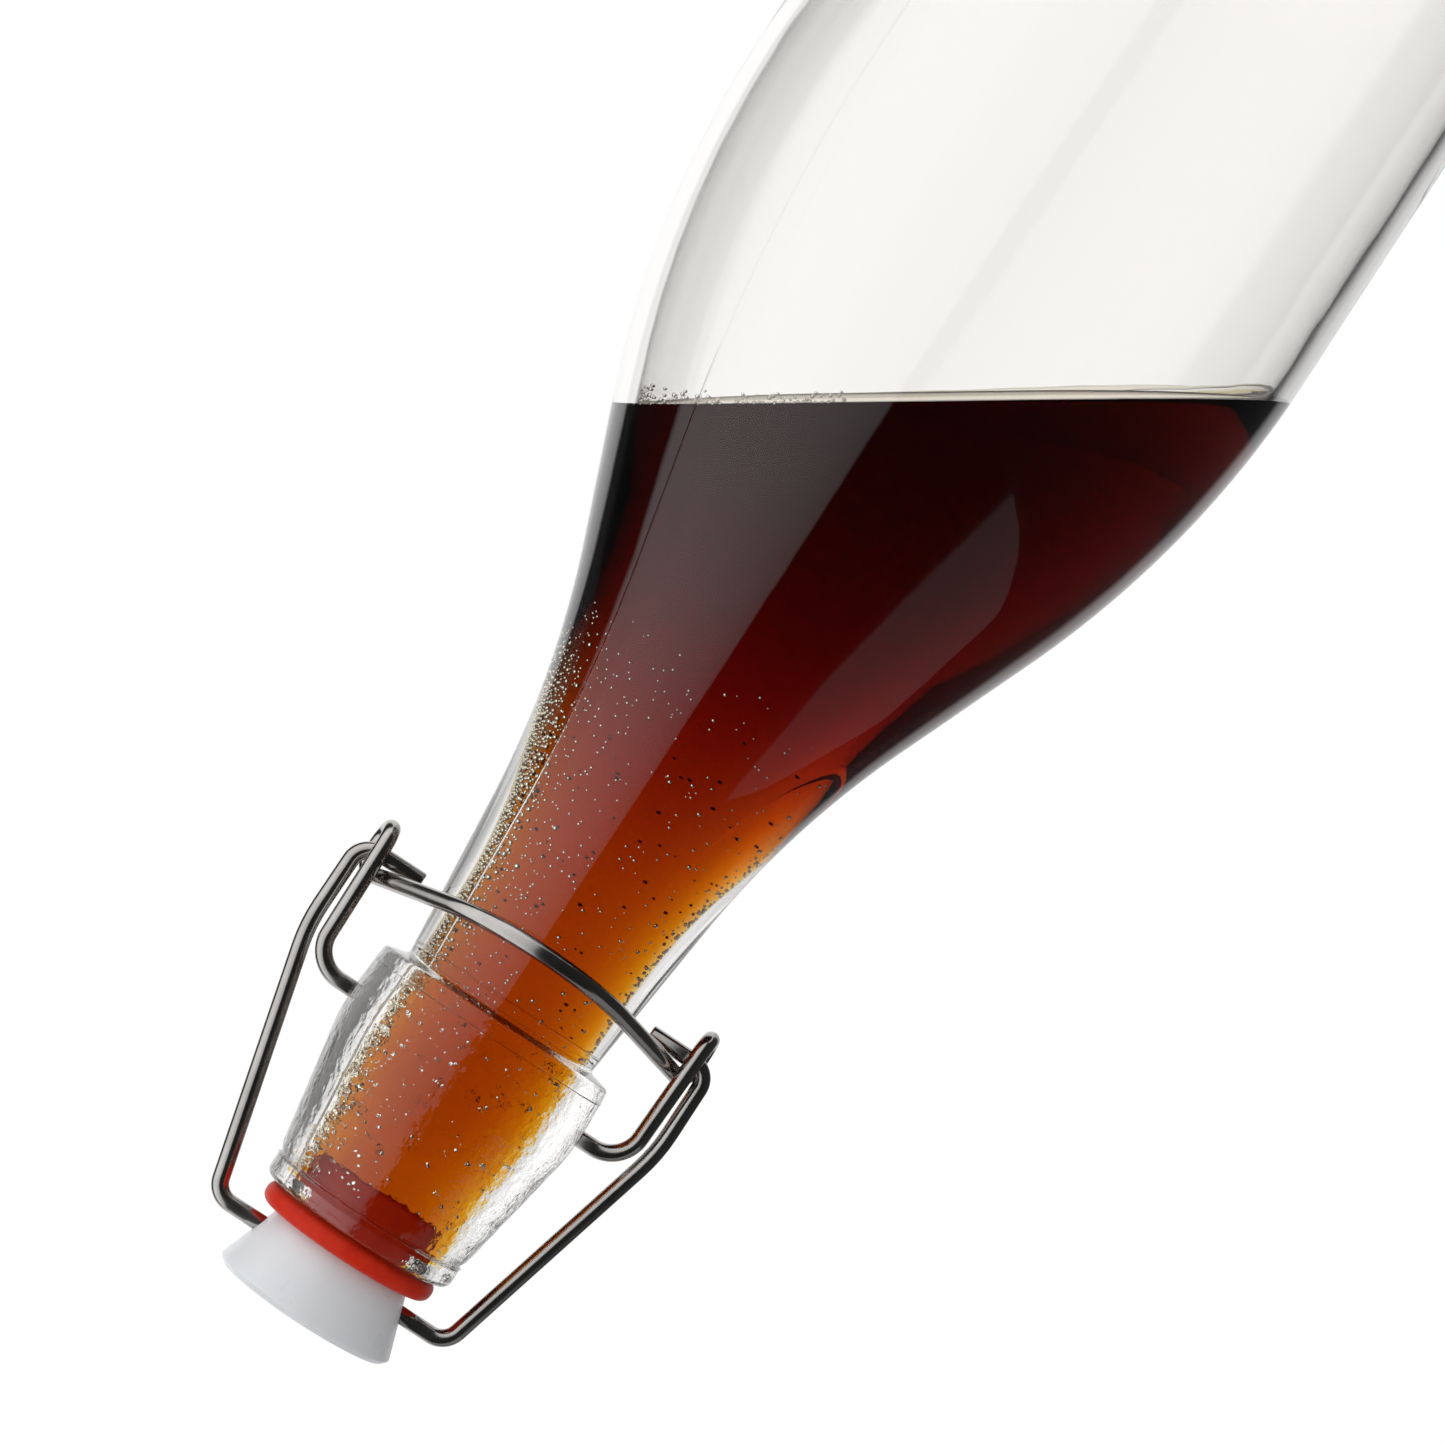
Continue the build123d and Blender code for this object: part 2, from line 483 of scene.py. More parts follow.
def glass_angles(radius):
    """Angles round the outside at a radius, close together at the two seams, and their lift."""
    half = math.acos(seam_offset / max(radius, lip_radius))
    steps = [k / 3 * seam_half_width / radius for k in range(-4, 5)]
    margin = steps[-1]
    angles, lifts = [], []
    for start, span, count, height in (
        (-half, 2 * half, front_columns, seam_height),
        (half, 2 * math.pi - 2 * half, back_columns, seam_height * back_seam_share),
    ):
        for step in steps:
            share = min(1.0, abs(step) * radius / seam_half_width)
            angles.append(seam_facing + start + step)
            lifts.append(height * (1 - share**2) ** 2)
        for i in range(1, count):
            angles.append(seam_facing + start + margin + (span - 2 * margin) * i / count)
            lifts.append(0.0)
    return angles, lifts


def ring_seam_lift(z):
    """How far a mould ring's seam stands out of the glass at a height."""
    nearest = min(abs(z - seam_z) for seam_z in ring_seam_zs)
    share = min(1.0, nearest / seam_half_width)
    return seam_height * (1 - share**2) ** 2


def unevenness(x, y, z):
    """How far the outside stands out of true: long gentle waves, and pebbles on the barrel."""
    waves = noise.noise(Vector((x, y, z * 0.6)) / wave_size) * wave_height
    if z < step_bottom[1] or z > barrel_top[1]:
        return waves
    pebbles = noise.noise(Vector((x, y, z)) / pebble_size) * pebble_height
    return waves + pebbles


def glass_step(z):
    """The longest step allowed along the outside at a height."""
    if min(abs(z - seam_z) for seam_z in ring_seam_zs) < 2 * seam_half_width:
        return seam_half_width / 3
    if z > step_bottom[1]:
        return pebble_size / 3
    return 1.5 * MM if z > shoulder_corner_z else 6 * MM


def outside_rows():
    """Rings of points from the middle of the underside, up the outside and over the lip."""
    rings = [[(0.0, 0.0, push_up_height)]]
    route = divided(outer_route(), outer_chord)
    fine = [route[0]]
    for a, b in zip(route, route[1:]):
        fine += divided([a, b], glass_step((a.z + b.z) / 2))[1:]
    for p in push_up_route()[1:] + fine[:-1]:
        angles, lifts = glass_angles(p.x)
        shaped = p.z > heel_radius and p.x > mouth_radius + lip_round
        ring = []
        for angle, lift in zip(angles, lifts):
            r = p.x
            if shaped:
                seams = max(lift, ring_seam_lift(p.z))
                r += seams + unevenness(r * math.cos(angle), r * math.sin(angle), p.z)
            ring.append((r * math.cos(angle), r * math.sin(angle), p.z))
        rings.append(ring)
    return rings


def stacked(rings):
    """Points and quads for rings of points, where a ring of one point is a pole."""
    points, faces, starts = [], [], []
    for ring in rings:
        starts.append(len(points))
        points += ring
    columns = max(len(ring) for ring in rings)
    for i in range(len(rings) - 1):
        low, high = len(rings[i]), len(rings[i + 1])
        for c in range(columns):
            n = (c + 1) % columns
            corners = (starts[i] + c % low, starts[i] + n % low,
                       starts[i + 1] + n % high, starts[i + 1] + c % high)
            faces.append(tuple(dict.fromkeys(corners)))
    return points, faces


def glass_bottle():
    """The bottle: outside, mouth, inside and push-up. The second material is where it is wet."""
    wet, dry = inside_rows(0.0)
    rings = outside_rows() + wet + dry
    points, faces = stacked(rings)
    piece = new_piece("bottle_glass", points, faces)
    columns = len(wet[0])
    first_wet = len(rings) - len(wet) - len(dry)
    for face in piece.data.polygons[first_wet * columns:(first_wet + len(wet) - 1) * columns]:
        face.material_index = 1
    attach(piece, "bottle")
    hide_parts("bottle")
    return piece


# =================================================================================================
# Drink
# =================================================================================================
def camera_axes():
    """The camera's right, up and backward directions."""
    a, e, r = camera_azimuth, camera_elevation, camera_roll
    back = Vector((math.sin(a) * math.cos(e), -math.cos(a) * math.cos(e), math.sin(e)))
    level_right = Vector((math.cos(a), math.sin(a), 0.0))
    level_up = back.cross(level_right)
    right = level_right * math.cos(r) + level_up * math.sin(r)
    up = level_up * math.cos(r) - level_right * math.sin(r)
    return right, up, back


def drink_plane():
    """A point on the drink's surface, and the direction away from the drink."""
    right, up, back = camera_axes()
    eye = camera_aim + back * camera_distance
    level_up = up * math.cos(drink_view_roll) - right * math.sin(drink_view_roll)
    away = level_up * math.cos(drink_view_lift) + back * math.sin(drink_view_lift)
    return eye, away


def drink_reach(ruler, angle, lift):
    """The mark on the inside's ruler where, at this angle, the surface raised by lift meets it."""
    on_plane, away = drink_plane()
    direction = Vector((math.cos(angle), math.sin(angle), 0.0))

    def height(mark):
        p = ruler.at(mark)
        return (direction * p.x + Vector((0, 0, p.z)) - on_plane).dot(away) - lift

    low, high = 0.0, ruler.end * 0.75
    for _ in range(40):
        middle = (low + high) / 2
        if height(middle) < 0:
            low = middle
        else:
            high = middle
    return low


def ring_point(p, angle, inset=0.0):
    """The point of a side view, turned to an angle, and moved towards the axis by inset."""
    return Vector(((p.x - inset) * math.cos(angle), (p.x - inset) * math.sin(angle), p.z))


def inside_rows(inset):
    """Rings down the inside: those that the drink wets, then from its edge to the floor."""
    ruler = Ruler(inner_route())
    angles, _ = glass_angles(lip_radius)
    edges = [drink_reach(ruler, angle, meniscus_height) for angle in angles]
    wet, dry = [], []
    for row in range(wet_rows + 1):
        marks = [edge * row / wet_rows for edge in edges]
        wet.append([ring_point(ruler.at(mark), a, inset) for mark, a in zip(marks, angles)])
    for row in range(1, dry_rows):
        marks = [edge + (ruler.end - edge) * row / dry_rows for edge in edges]
        dry.append([ring_point(ruler.at(mark), a, inset) for mark, a in zip(marks, angles)])
    dry.append([Vector((0.0, 0.0, floor_centre_z))])
    return wet, dry


def drink():
    """The drink in the neck and shoulder: the wall it wets, its surface and the curved edge."""
    wet, _ = inside_rows(drink_gap)
    ruler = Ruler(inner_route())
    angles, _ = glass_angles(lip_radius)
    surface = []
    for inset in meniscus_insets:
        lift = meniscus_height * math.exp(-inset / meniscus_reach)
        edge = [ring_point(ruler.at(drink_reach(ruler, a, lift)), a, drink_gap) for a in angles]
        middle = sum(edge, Vector()) / len(edge)
        surface.append([p + (middle - p) * min(0.97, inset / (middle - p).length) for p in edge])
    top = [Vector((0.0, 0.0, wet[0][0].z))]
    points, faces = stacked([top] + wet + surface + [[middle]])
    piece = new_piece("drink", points, faces)
    wall_faces = len(angles) * len(wet)
    marks = [1.0] * wall_faces + [0.0] * (len(piece.data.polygons) - wall_faces)
    piece.data.attributes.new("against_glass", "FLOAT", "FACE").data.foreach_set("value", marks)
    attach(piece, "bottle")
    return piece


# =================================================================================================
# Bubbles and foam
# =================================================================================================
def unit_ball():
    """The corners and triangles of a small ball of radius 1."""
    ball = bmesh.new()
    bmesh.ops.create_icosphere(ball, subdivisions=2, radius=1.0)
    points = [corner.co.copy() for corner in ball.verts]
    faces = [[corner.index for corner in face.verts] for face in ball.faces]
    ball.free()
    return points, faces


class Wall:
    """The inside wall by height."""

    def __init__(self):
        self.ruler = Ruler(inner_route())
        self.depths = [-p.z for p in self.ruler.route]

    def at(self, z):
        """The wall's point in side view at a height, and its direction into the bottle."""
        i = min(max(bisect.bisect_right(self.depths, -z), 1), len(self.depths) - 1)
        a, b = self.ruler.route[i - 1], self.ruler.route[i]
        share = min(1.0, max(0.0, (a.z - z) / max(a.z - b.z, 1e-9)))
        along = (b - a).normalized()
        return a.lerp(b, share), Vector((along.z, 0.0, -along.x))


def beads(name, spots):
    """One piece of many small beads that sit on the inside wall. spots are (angle, z, radius)."""
    wall_by_height = Wall()
    ball, triangles = unit_ball()
    points, faces = [], []
    for angle, z, radius in spots:
        place, inward = wall_by_height.at(z)
        turn = Matrix.Rotation(angle, 3, "Z")
        inward = turn @ inward
        centre = turn @ place + inward * (radius * bead_flatness + bead_clearance)
        first = len(points)
        for corner in ball:
            flat = corner - inward * corner.dot(inward) * (1 - bead_flatness)
            points.append(centre + flat * radius)
        faces += [tuple(first + i for i in triangle) for triangle in triangles]
    piece = new_piece(name, points, faces)
    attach(piece, "bottle")
    return piece


def apart(candidates, count):
    """The first count of the candidate spots that don't touch one chosen before."""
    wall_by_height = Wall()
    around = [(i, j) for i in (-1, 0, 1) for j in (-1, 0, 1)]
    cells, chosen = {}, []
    for angle, z, radius in candidates:
        across = angle * wall_by_height.at(z)[0].x
        column, row = math.floor(across / spot_cell), math.floor(z / spot_cell)
        near = [spot for i, j in around for spot in cells.get((column + i, row + j), [])]
        if any(math.hypot(across - a, z - b) < (radius + r) * bead_spacing for a, b, r in near):
            continue
        cells.setdefault((column, row), []).append((across, z, radius))
        chosen.append((angle, z, radius))
        if len(chosen) == count:
            break
    return chosen


def facing(degrees):
    """The angle of a direction given in degrees from the front (-Y) towards +X."""
    return math.radians(degrees - 90.0)


def between(ends, share):
    """The value at a share of the way from the first end to the second."""
    return ends[0] + (ends[1] - ends[0]) * share


def cluster_spots():
    """The dense bubbles on the wall's +X side, thinning out towards the shoulder."""
    chance = random.Random(11)
    made = []
    for _ in range(cluster_count * cluster_tries):
        z = chance.uniform(cluster_from_z, bubbles_to_z)
        thin = min(1.0, (z - cluster_from_z) / (cluster_dense_z - cluster_from_z)) ** 3
        if chance.random() > thin:
            continue
        degrees = chance.gauss(cluster_facing, cluster_spread)
        radius = between(cluster_radii, chance.random() ** 2)
        made.append((facing(degrees), z, radius))
    return apart(made, cluster_count)


def scatter_spots():
    """Single bubbles all round the neck: half in front towards the cluster, some opposite it and on
    the -X edge, the rest behind."""
    chance = random.Random(23)
    made = []
    for _ in range(scatter_count * scatter_tries):
        kind = chance.random()
        z = chance.uniform(scatter_from_z, bubbles_to_z)
        if kind < 0.5:
            degrees = scatter_front_facing * chance.random() ** 0.6
            radius = between((0.13 * MM, 0.23 * MM), chance.random())
        elif kind < 0.68:
            degrees = scatter_left_facing * chance.random()
            radius = between((0.12 * MM, 0.32 * MM), chance.random() ** 2)
        elif kind < 0.84:
            degrees = chance.gauss(edge_facing, edge_spread)
            z = chance.uniform(*edge_zs)
            radius = between((0.12 * MM, 0.28 * MM), chance.random())
        else:
            degrees = chance.uniform(*scatter_back_facing)
            radius = between((0.12 * MM, 0.28 * MM), chance.random())
        made.append((facing(degrees), z, radius))
    return apart(made, scatter_count)


def foam_spots():
    """Beads left on the dry wall just above the drink at its +X end, heaped in small peaks."""
    chance = random.Random(5)
    ruler = Ruler(inner_route())
    made = []
    for _ in range(foam_peaks):
        share = chance.random() ** 1.3
        degrees = foam_facing - foam_reach * share
        fullness = 1 - foam_thinning * share
        height = foam_height * between((0.35, 1.0), chance.random()) * fullness
        for _ in range(int(foam_beads_per_peak * fullness)):
            lift = meniscus_height + height * chance.random() ** 1.6
            narrowing = 1 - lift / (height + meniscus_height)
            angle = facing(degrees + narrowing * foam_peak_spread * chance.uniform(-1, 1))
            z = ruler.at(drink_reach(ruler, angle, lift)).z
            made.append((angle, z, between((0.18 * MM, 0.38 * MM), chance.random())))
    return apart(made, len(made))


def foam_film():
    """A thin pale film of foam along the drink's edge, lowest at its +X and -X ends."""
    ruler = Ruler(inner_route())
    angles, _ = glass_angles(lip_radius)
    shares = [i / film_steps for i in range(film_steps + 1)]
    loop = [(share, 0.0) for share in shares]
    loop += [(share, between((film_rim, 1.0), math.sin(math.pi * share))) for share in shares[::-1]]
    points, faces = [], []
    for share, depth in loop:
        for angle in angles:
            from_end = math.asin(abs(math.sin(angle)))
            away_from_end = 0.5 - 0.5 * math.cos(min(math.pi, film_rise * from_end))
            height = film_height * max(film_lowest, away_from_end)
            lift = meniscus_height + bead_clearance + height * share
            place = ruler.at(drink_reach(ruler, angle, lift))
            points.append(ring_point(place, angle, bead_clearance + film_thickness * depth))
    count = len(angles)
    for r in range(len(loop)):
        low, high = r * count, (r + 1) % len(loop) * count
        for c in range(count):
            n = (c + 1) % count
            faces.append((low + c, low + n, high + n, high + c))
    piece = new_piece("foam_film", points, faces)
    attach(piece, "bottle")
    return piece


# =================================================================================================
# Closure
# =================================================================================================
def mirrored(half_route):
    """The whole wire's corners: the right half, then the same corners on the left, backwards."""
    left_half = [(-x, y, z) for x, y, z in reversed(half_route) if x != 0]
    return half_route + left_half


def lever():
    """The lever: tips in the barrel, front legs, loops, rear legs and the bow round the neck."""
    half = [
        (lever_tip_x, 0.0, pivot_z),
        (lever_elbow_x, 0.0, pivot_z),
        (lever_front_x, hook_y - loop_half_width, loop_bottom_z),
        (lever_rear_x, hook_y + loop_half_width, loop_bottom_z),
        (lever_rear_x, hook_y + loop_half_width, bow_top_z),
        bow_corner,
    ]
    bends = [lever_elbow_radius, loop_bend_radius, loop_bend_radius, bow_bend_radius]
    route = rounded(mirrored(half), bends + [bow_radius] + bends[::-1], step=math.radians(4))
    piece = swept_wire("lever_bow", route, wire_radius, wire_tip_round)
    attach(piece, "lever")
    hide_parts("lever_wire")
    return piece


def bail():
    """The bail: a hook in each lever loop, up the sides and across through the stopper."""
    knee_y = hook_y * (bar_z - bail_knee_z) / (bar_z - hook_z)
    half = [
        (hook_tip_x, hook_y, hook_z),
        (bail_side_x, hook_y, hook_z),
        (bail_side_x, knee_y, bail_knee_z),
        (bail_top_x, 0.0, bar_z),
    ]
    bends = [hook_bend_radius, bail_knee_radius, bail_top_radius]
    route = rounded(mirrored(half), bends + bends[::-1], step=math.radians(4))
    piece = swept_wire("bail", route, wire_radius, wire_tip_round)
    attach(piece, "bail")
    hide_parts("bail_wire")
    return piece


def stopper_moulding():
    """The stopper: domed cap, stem and the button that holds the gasket, with the bar's hole."""
    recess_z = skirt_bottom_z + button_recess
    edge_radius = cap_rim_radius - cap_bevel
    edge_z = cap_rim_z + cap_bevel
    dome_rise = cap_top_z - edge_z
    dome_radius = (edge_radius**2 + dome_rise**2) / (2 * dome_rise)
    dome = []
    for i in range(dome_steps + 1):
        r = edge_radius * dome_share * i / dome_steps
        dome.append(Vector((r, 0.0, cap_top_z - dome_radius + math.sqrt(dome_radius**2 - r**2))))
    corners = [dome[-1]] + side_view([
        (edge_radius, edge_z),
        (cap_rim_radius, cap_rim_z),
        (cap_bottom_radius, seal_z),
        (stem_radius, seal_z),
        (stem_radius, recess_z),
        (button_radius, recess_z),
        (button_radius, recess_z - button_thickness),
        (0.0, recess_z - button_thickness),
    ])
    radii = [0.3 * MM, 0.4 * MM, 0.4 * MM, 0.3 * MM, 0.2 * MM, 0.2 * MM, 0.3 * MM]
    profile = divided(dome[:-1] + rounded(corners, radii, step=math.radians(10)), 0.8 * MM)
    piece = lathed("stopper_moulding", profile, even_angles(144))
    hole = [Vector((side * cap_rim_radius * 1.1, 0.0, bar_z)) for side in (-1, 0, 1)]
    cutter = swept_wire("bar_hole", hole, bar_hole_radius, 0.01 * MM, sides=48)
    carved(piece, [cutter])
    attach(piece, "stopper")
    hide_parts("stopper")
    return piece


def gasket_ring():
    """The gasket: a flange with a rounded rim and a tapered skirt that plugs the mouth."""
    inner = button_radius + button_gap
    recess_z = skirt_bottom_z + button_recess
    corners = side_view([
        (stem_radius + 0.02 * MM, (seal_z + recess_z) / 2),
        (stem_radius + 0.02 * MM, seal_z),
        (gasket_radius, seal_z),
        (gasket_radius, gasket_low_z),
        (skirt_top_radius, gasket_low_z),
        (skirt_bottom_radius, skirt_bottom_z),
        (inner, skirt_bottom_z),
        (inner, recess_z),
        (stem_radius + 0.02 * MM, recess_z),
    ])
    radii = [0.1 * MM, gasket_rim_round, gasket_rim_round, 0.5 * MM, skirt_round, 0.3 * MM,
             0.2 * MM]
    profile = divided(rounded(corners, radii, step=math.radians(6)), 0.8 * MM)
    piece = lathed("gasket_ring", profile[::-1], even_angles(160))
    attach(piece, "stopper")
    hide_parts("gasket")
    return piece


# =================================================================================================
# Materials
# =================================================================================================
class Nodes:
    """A material's node tree with its Principled shader."""

    def __init__(self, name, **values):
        self.material = bpy.data.materials.new(name)
        self.material.use_nodes = True
        self.tree = self.material.node_tree
        self.shader = self.tree.nodes["Principled BSDF"]
        self.out = self.tree.nodes["Material Output"]
        for socket, value in values.items():
            self.shader.inputs[socket.replace("_", " ")].default_value = value

    def add(self, kind, inputs=None, **settings):
        """A new node with its settings, and its inputs as values or links."""
        node = self.tree.nodes.new(kind)
        for name, value in settings.items():
            setattr(node, name, value)
        for name, value in (inputs or {}).items():
            if isinstance(value, bpy.types.NodeSocket):
                self.tree.links.new(value, node.inputs[name])
            else:
                node.inputs[name].default_value = value
        return node

    def link(self, output, socket):
        """Feeds a socket of the Principled shader."""
        self.tree.links.new(output, self.shader.inputs[socket])

    def place(self):
        """Where the surface point is, in metres."""
        return self.add("ShaderNodeTexCoord").outputs["Object"]

    def bump(self, height, depth, below=None):
        """A bump of a depth in metres from a height, over another bump."""
        inputs = {"Height": height, "Strength": 1.0, "Distance": depth}
        if below:
            inputs["Normal"] = below
        return self.add("ShaderNodeBump", inputs).outputs["Normal"]

    def absorb(self, colour, density):
        """Fills the closed mesh with a clear absorbing volume."""
        volume = self.add("ShaderNodeVolumeAbsorption", {
            "Color": (*colour, 1.0), "Density": density})
        self.tree.links.new(volume.outputs["Volume"], self.out.inputs["Volume"])


def glass_material(name, ior):
    """Clear bottle glass with a faint warm tint: slightly wavy, and pebbled on the barrel."""
    m = Nodes(name, Roughness=0.0, IOR=ior, Transmission_Weight=1.0)
    m.shader.inputs["Base Color"].default_value = glass_tint
    place = m.place()
    height = m.add("ShaderNodeSeparateXYZ", {"Vector": place}).outputs["Z"]
    pebbled = m.add("ShaderNodeMapRange", {
        "Value": height,
        "From Min": neck_top[1] - 2 * MM,
        "From Max": step_bottom[1] + MM,
    }).outputs["Result"]
    pebbles = m.add("ShaderNodeTexNoise", {
        "Vector": place, "Scale": 1 / (1.1 * MM), "Detail": 2.0, "Roughness": 0.5}).outputs["Fac"]
    masked = m.add("ShaderNodeMath", {0: pebbles, 1: pebbled}, operation="MULTIPLY").outputs[0]
    waves = m.add("ShaderNodeTexNoise", {
        "Vector": place, "Scale": 1 / (9 * MM), "Detail": 1.0, "Roughness": 0.4}).outputs["Fac"]
    m.link(m.bump(masked, 0.10 * MM, m.bump(waves, 0.03 * MM)), "Normal")
    return m.material


def drink_material():
    """A clear amber drink, deep red-brown where it is thick. The glass that it wets does the
    bending there, so its own wall lets light straight through and only its surface bends it."""
    m = Nodes("drink", Roughness=0.0, IOR=drink_ior, Transmission_Weight=1.0)
    m.shader.inputs["Base Color"].default_value = (1.0, 1.0, 1.0, 1.0)
    straight = m.add("ShaderNodeBsdfPrincipled", {
        "Base Color": (1.0, 1.0, 1.0, 1.0),
        "Roughness": 0.0,
        "IOR": 1.0,
        "Transmission Weight": 1.0,
    })
    wall_share = m.add("ShaderNodeAttribute", attribute_name="against_glass").outputs["Fac"]
    either = m.add("ShaderNodeMixShader", {
        0: wall_share, 1: m.shader.outputs["BSDF"], 2: straight.outputs["BSDF"]})
    m.tree.links.new(either.outputs["Shader"], m.out.inputs["Surface"])
    m.absorb(drink_colour, drink_density)
    return m.material


def bubble_material():
    """Air inside the drink: its skin turns light back, so that it shines like silver."""
    m = Nodes("air_bubble", Metallic=1.0, Roughness=0.04)
    m.shader.inputs["Base Color"].default_value = (1.0, 1.0, 1.0, 1.0)
    return m.material


def bead_material():
    """Wet beads of foam, whose thin skins shine."""
    m = Nodes("foam_bead", Roughness=0.05, Metallic=1.0)
    m.shader.inputs["Base Color"].default_value = (0.85, 0.84, 0.81, 1.0)
    return m.material


def film_material():
    """A cream-coloured film of fine foam that lets light through."""
    m = Nodes("foam_film", Roughness=0.25, IOR=1.2, Transmission_Weight=0.85)
    m.shader.inputs["Base Color"].default_value = (0.97, 0.93, 0.84, 1.0)
    return m.material


def wire_material():
    """Drawn steel wire with a dark bright finish: fine pits and faint smudges."""
    m = Nodes("dark_bright_steel", Metallic=1.0)
    place = m.place()
    smudges = m.add("ShaderNodeTexNoise", {
        "Vector": place, "Scale": 1 / (5 * MM), "Detail": 4.0, "Roughness": 0.6}).outputs["Fac"]
    tone = m.add("ShaderNodeValToRGB", {"Fac": smudges})
    tone.color_ramp.elements[0].position = 0.3
    tone.color_ramp.elements[0].color = (0.40, 0.385, 0.37, 1.0)
    tone.color_ramp.elements[1].position = 0.75
    tone.color_ramp.elements[1].color = (0.52, 0.505, 0.49, 1.0)
    m.link(tone.outputs["Color"], "Base Color")
    rough = m.add("ShaderNodeMapRange", {"Value": smudges, "To Min": 0.10, "To Max": 0.24})
    m.link(rough.outputs["Result"], "Roughness")
    pits = m.add("ShaderNodeTexNoise", {
        "Vector": place, "Scale": 1 / (0.5 * MM), "Detail": 2.0, "Roughness": 0.5}).outputs["Fac"]
    m.link(m.bump(pits, 0.0015 * MM), "Normal")
    return m.material


def stopper_material():
    """Smooth white plastic, a little translucent, with faint flow marks."""
    m = Nodes("white_plastic", IOR=1.49, Subsurface_Weight=0.25, Subsurface_Scale=2.0 * MM)
    m.shader.inputs["Subsurface Radius"].default_value = (1.0, 0.9, 0.8)
    place = m.place()
    flow = m.add("ShaderNodeTexNoise", {
        "Vector": place, "Scale": 1 / (7 * MM), "Detail": 3.0, "Distortion": 0.6}).outputs["Fac"]
    tone = m.add("ShaderNodeValToRGB", {"Fac": flow})
    tone.color_ramp.elements[0].color = (0.78, 0.805, 0.83, 1.0)
    tone.color_ramp.elements[1].color = (0.84, 0.86, 0.88, 1.0)
    m.link(tone.outputs["Color"], "Base Color")
    rough = m.add("ShaderNodeMapRange", {"Value": flow, "To Min": 0.22, "To Max": 0.36})
    m.link(rough.outputs["Result"], "Roughness")
    grain = m.add("ShaderNodeTexNoise", {
        "Vector": place, "Scale": 1 / (0.4 * MM), "Detail": 2.0}).outputs["Fac"]
    m.link(m.bump(grain, 0.006 * MM), "Normal")
    return m.material


def gasket_material():
    """Satin red rubber with a fine skin texture."""
    m = Nodes("red_rubber", IOR=1.5, Specular_IOR_Level=0.2, Subsurface_Weight=0.1,
              Subsurface_Scale=1.0 * MM)
    m.shader.inputs["Subsurface Radius"].default_value = (1.0, 0.25, 0.1)
    place = m.place()
    mottle = m.add("ShaderNodeTexNoise", {
        "Vector": place, "Scale": 1 / (2.5 * MM), "Detail": 5.0, "Roughness": 0.65}).outputs["Fac"]
    tone = m.add("ShaderNodeValToRGB", {"Fac": mottle})
    tone.color_ramp.elements[0].position = 0.3
    tone.color_ramp.elements[0].color = (0.60, 0.014, 0.001, 1.0)
    tone.color_ramp.elements[1].position = 0.8
    tone.color_ramp.elements[1].color = (0.72, 0.034, 0.004, 1.0)
    m.link(tone.outputs["Color"], "Base Color")
    rough = m.add("ShaderNodeMapRange", {"Value": mottle, "To Min": 0.36, "To Max": 0.52})
    m.link(rough.outputs["Result"], "Roughness")
    skin = m.add("ShaderNodeTexNoise", {
        "Vector": place, "Scale": 1 / (0.25 * MM), "Detail": 3.0}).outputs["Fac"]
    m.link(m.bump(skin, 0.015 * MM), "Normal")
    return m.material


def dress(piece, *materials):
    """Gives the piece its materials, by the numbers that its faces hold."""
    for material in materials:
        piece.data.materials.append(material)
    return piece


# =================================================================================================
# Studio and camera
# =================================================================================================
def level_by_direction(nodes, links, azimuth, levels):
    """A brightness by direction around the bottle. levels are (degrees from +Y to +X, value)."""
    ramp = nodes.new("ShaderNodeValToRGB")
    elements = ramp.color_ramp.elements
    while len(elements) > 1:
        elements.remove(elements[-1])
    for i, (degrees, level) in enumerate(levels):
        at = (degrees + 180) / 360
        element = elements[0] if i == 0 else elements.new(at)
        element.position = at
        element.color = (level, level, level, 1.0)
    links.new(azimuth, ramp.inputs["Fac"])
    return ramp.outputs["Color"]


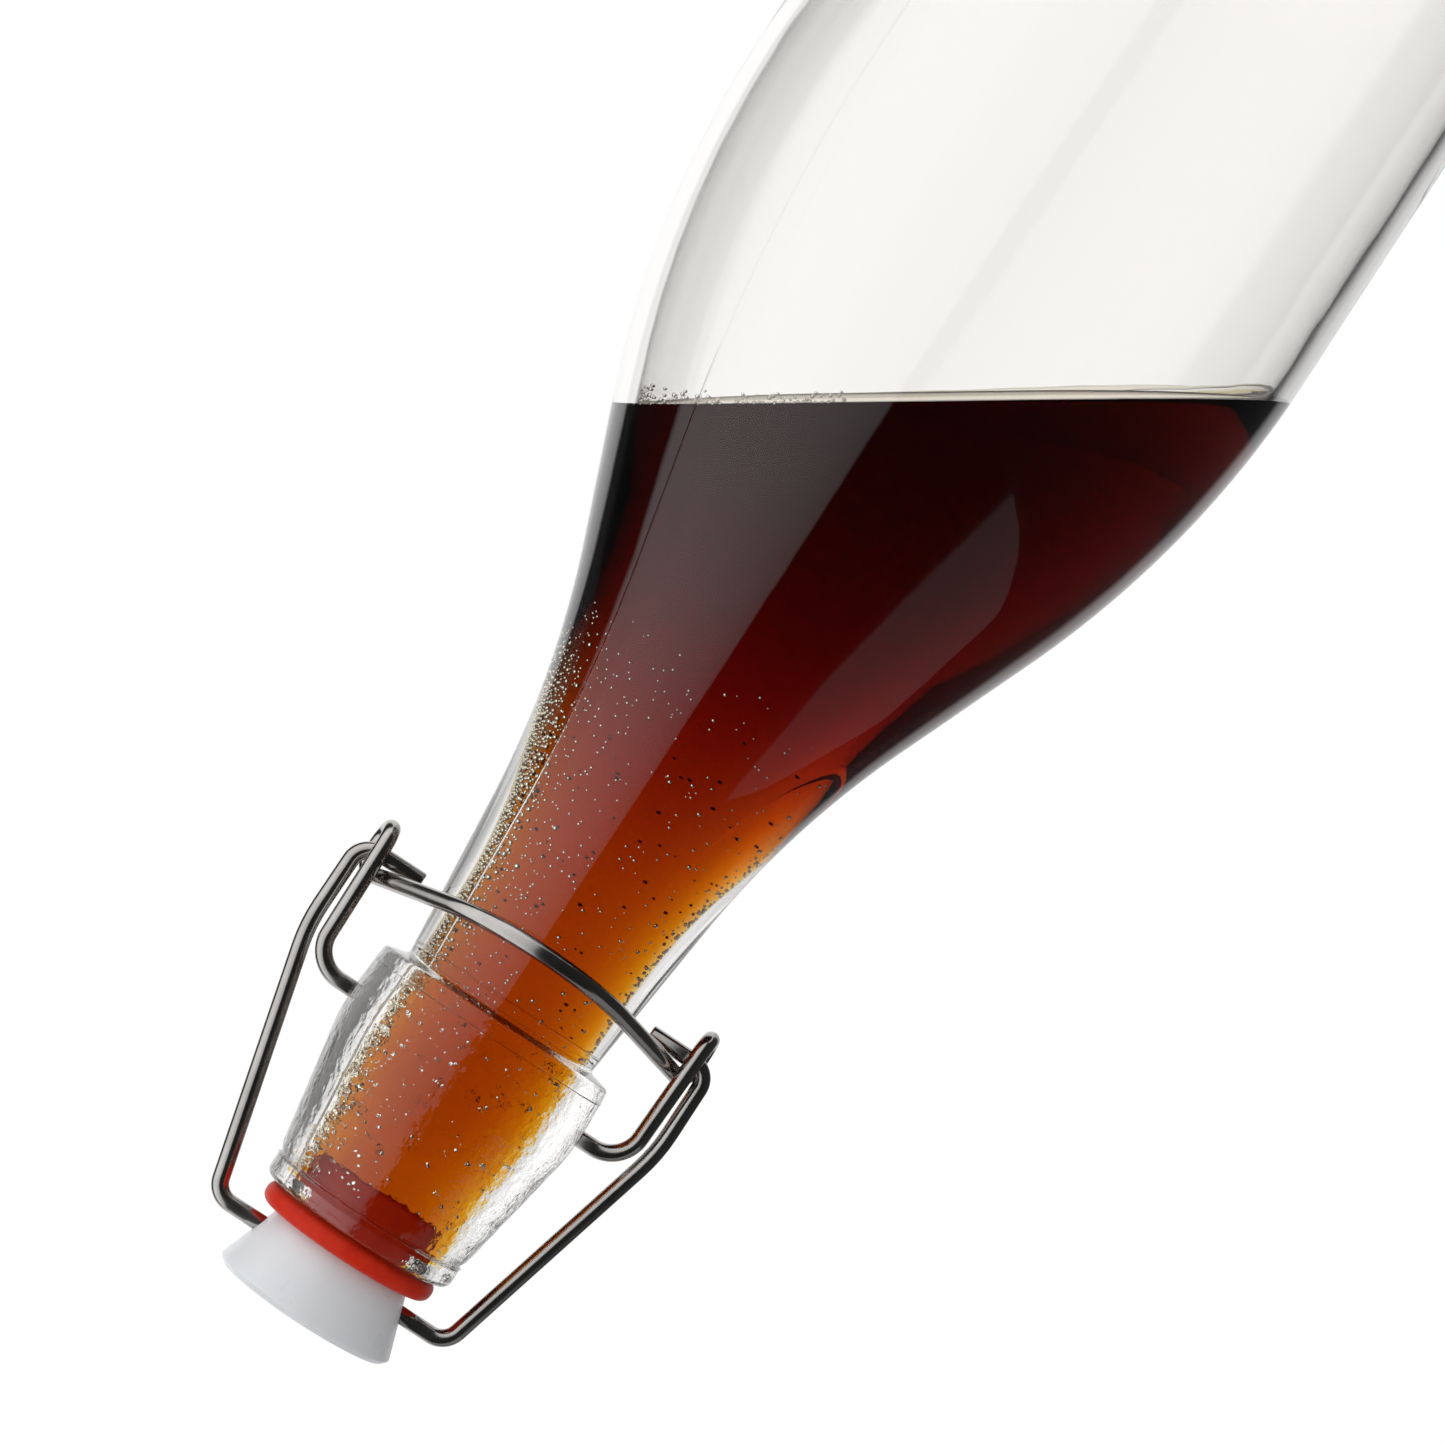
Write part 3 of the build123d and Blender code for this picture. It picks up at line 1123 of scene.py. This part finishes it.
def studio():
    """White all round for the eye; what glass and metal reflect and bend has darker places."""
    world = bpy.data.worlds.new("studio")
    bpy.context.scene.world = world
    world.use_nodes = True
    nodes, links = world.node_tree.nodes, world.node_tree.links
    background = nodes["Background"]

    def math_node(operation, *values):
        node = nodes.new("ShaderNodeMath")
        node.operation = operation
        for i, value in enumerate(values):
            if isinstance(value, bpy.types.NodeSocket):
                links.new(value, node.inputs[i])
            else:
                node.inputs[i].default_value = value
        return node.outputs[0]

    def mixed(share, a, b):
        node = nodes.new("ShaderNodeMix")
        node.data_type = "RGBA"
        for socket, value in ((node.inputs[0], share), (node.inputs[6], a), (node.inputs[7], b)):
            if isinstance(value, bpy.types.NodeSocket):
                links.new(value, socket)
            else:
                socket.default_value = value
        return node.outputs[2]

    direction = nodes.new("ShaderNodeSeparateXYZ")
    links.new(nodes.new("ShaderNodeTexCoord").outputs["Generated"], direction.inputs[0])
    around = math_node("ARCTAN2", direction.outputs["X"], direction.outputs["Y"])
    azimuth = math_node("MULTIPLY_ADD", around, 0.5 / math.pi, 0.5)
    bent = level_by_direction(nodes, links, azimuth, bent_levels)
    mirrored_low = level_by_direction(nodes, links, azimuth, mirrored_levels)
    mirrored_high = level_by_direction(nodes, links, azimuth, mirrored_high_levels)
    high = math_node("GREATER_THAN", direction.outputs["Z"], math.sin(high_light_elevation))
    reflected = mixed(high, mirrored_low, mirrored_high)
    path = nodes.new("ShaderNodeLightPath")
    hollow = math_node("COMPARE", path.outputs["Transmission Depth"], hollow_crossings, 0.5)
    lightened = math_node("MULTIPLY", hollow, hollow_light)
    white = (1.0, 1.0, 1.0, 1.0)
    dark = (dark_level, dark_level, dark_level, 1.0)
    seen = mixed(lightened, bent, white)
    unreflected = math_node("LESS_THAN", path.outputs["Glossy Depth"], 0.5)
    straight = math_node("MULTIPLY", path.outputs["Is Transmission Ray"], unreflected)
    steepness = math_node("ABSOLUTE", direction.outputs["Z"])
    steep = math_node("GREATER_THAN", steepness, math.sin(backdrop_elevation))
    through = mixed(straight, reflected, mixed(steep, seen, dark))
    lighting = level_by_direction(nodes, links, azimuth, lighting_levels)
    through = mixed(path.outputs["Is Diffuse Ray"], through, lighting)
    links.new(mixed(path.outputs["Is Camera Ray"], through, white), background.inputs["Color"])
    background.inputs["Strength"].default_value = 1.0


def floor():
    """A pale round floor that the bottle stands on."""
    edge = even_angles(floor_sides)
    points = [(floor_radius * math.cos(a), floor_radius * math.sin(a), 0.0) for a in edge]
    piece = new_piece("floor", points, [tuple(range(floor_sides))], smooth=False)
    piece.location.z = -floor_drop
    m = Nodes("pale_floor", Roughness=0.9, Emission_Strength=floor_glow)
    m.shader.inputs["Base Color"].default_value = (0.85, 0.85, 0.85, 1.0)
    m.shader.inputs["Emission Color"].default_value = (1.0, 1.0, 1.0, 1.0)
    dress(piece, m.material)


def camera():
    """The photograph's view: a little above the shoulder, with the camera rolled far over."""
    right, up, back = camera_axes()
    data = bpy.data.cameras.new("camera")
    data.sensor_width = camera_sensor
    data.lens = camera_lens
    data.clip_start = 10 * MM
    eye = bpy.data.objects.new("camera", data)
    bpy.context.scene.collection.objects.link(eye)
    turned = Matrix((right, up, back)).transposed().to_4x4()
    eye.matrix_world = Matrix.Translation(camera_aim + back * camera_distance) @ turned
    bpy.context.scene.camera = eye


# ---- building ------------------------------------------------------------------------------------
scene = bpy.context.scene
scene.view_settings.view_transform = "Standard"
scene.cycles.max_bounces = 32
scene.cycles.transmission_bounces = 32
scene.cycles.glossy_bounces = 12
scene.cycles.use_denoising = True

camera()
studio()
floor()
clear_glass = glass_material("clear_glass", glass_ior)
wetted_glass = glass_material("wetted_glass", glass_ior / drink_ior)
dress(glass_bottle(), clear_glass, wetted_glass)
dress(drink(), drink_material())
dress(beads("bubble_cluster", cluster_spots()), bubble_material())
dress(beads("bubble_scatter", scatter_spots()), bubble_material())
dress(beads("foam_beads", foam_spots()), bead_material())
dress(foam_film(), film_material())
steel = wire_material()
dress(lever(), steel)
dress(bail(), steel)
dress(stopper_moulding(), stopper_material())
dress(gasket_ring(), gasket_material())
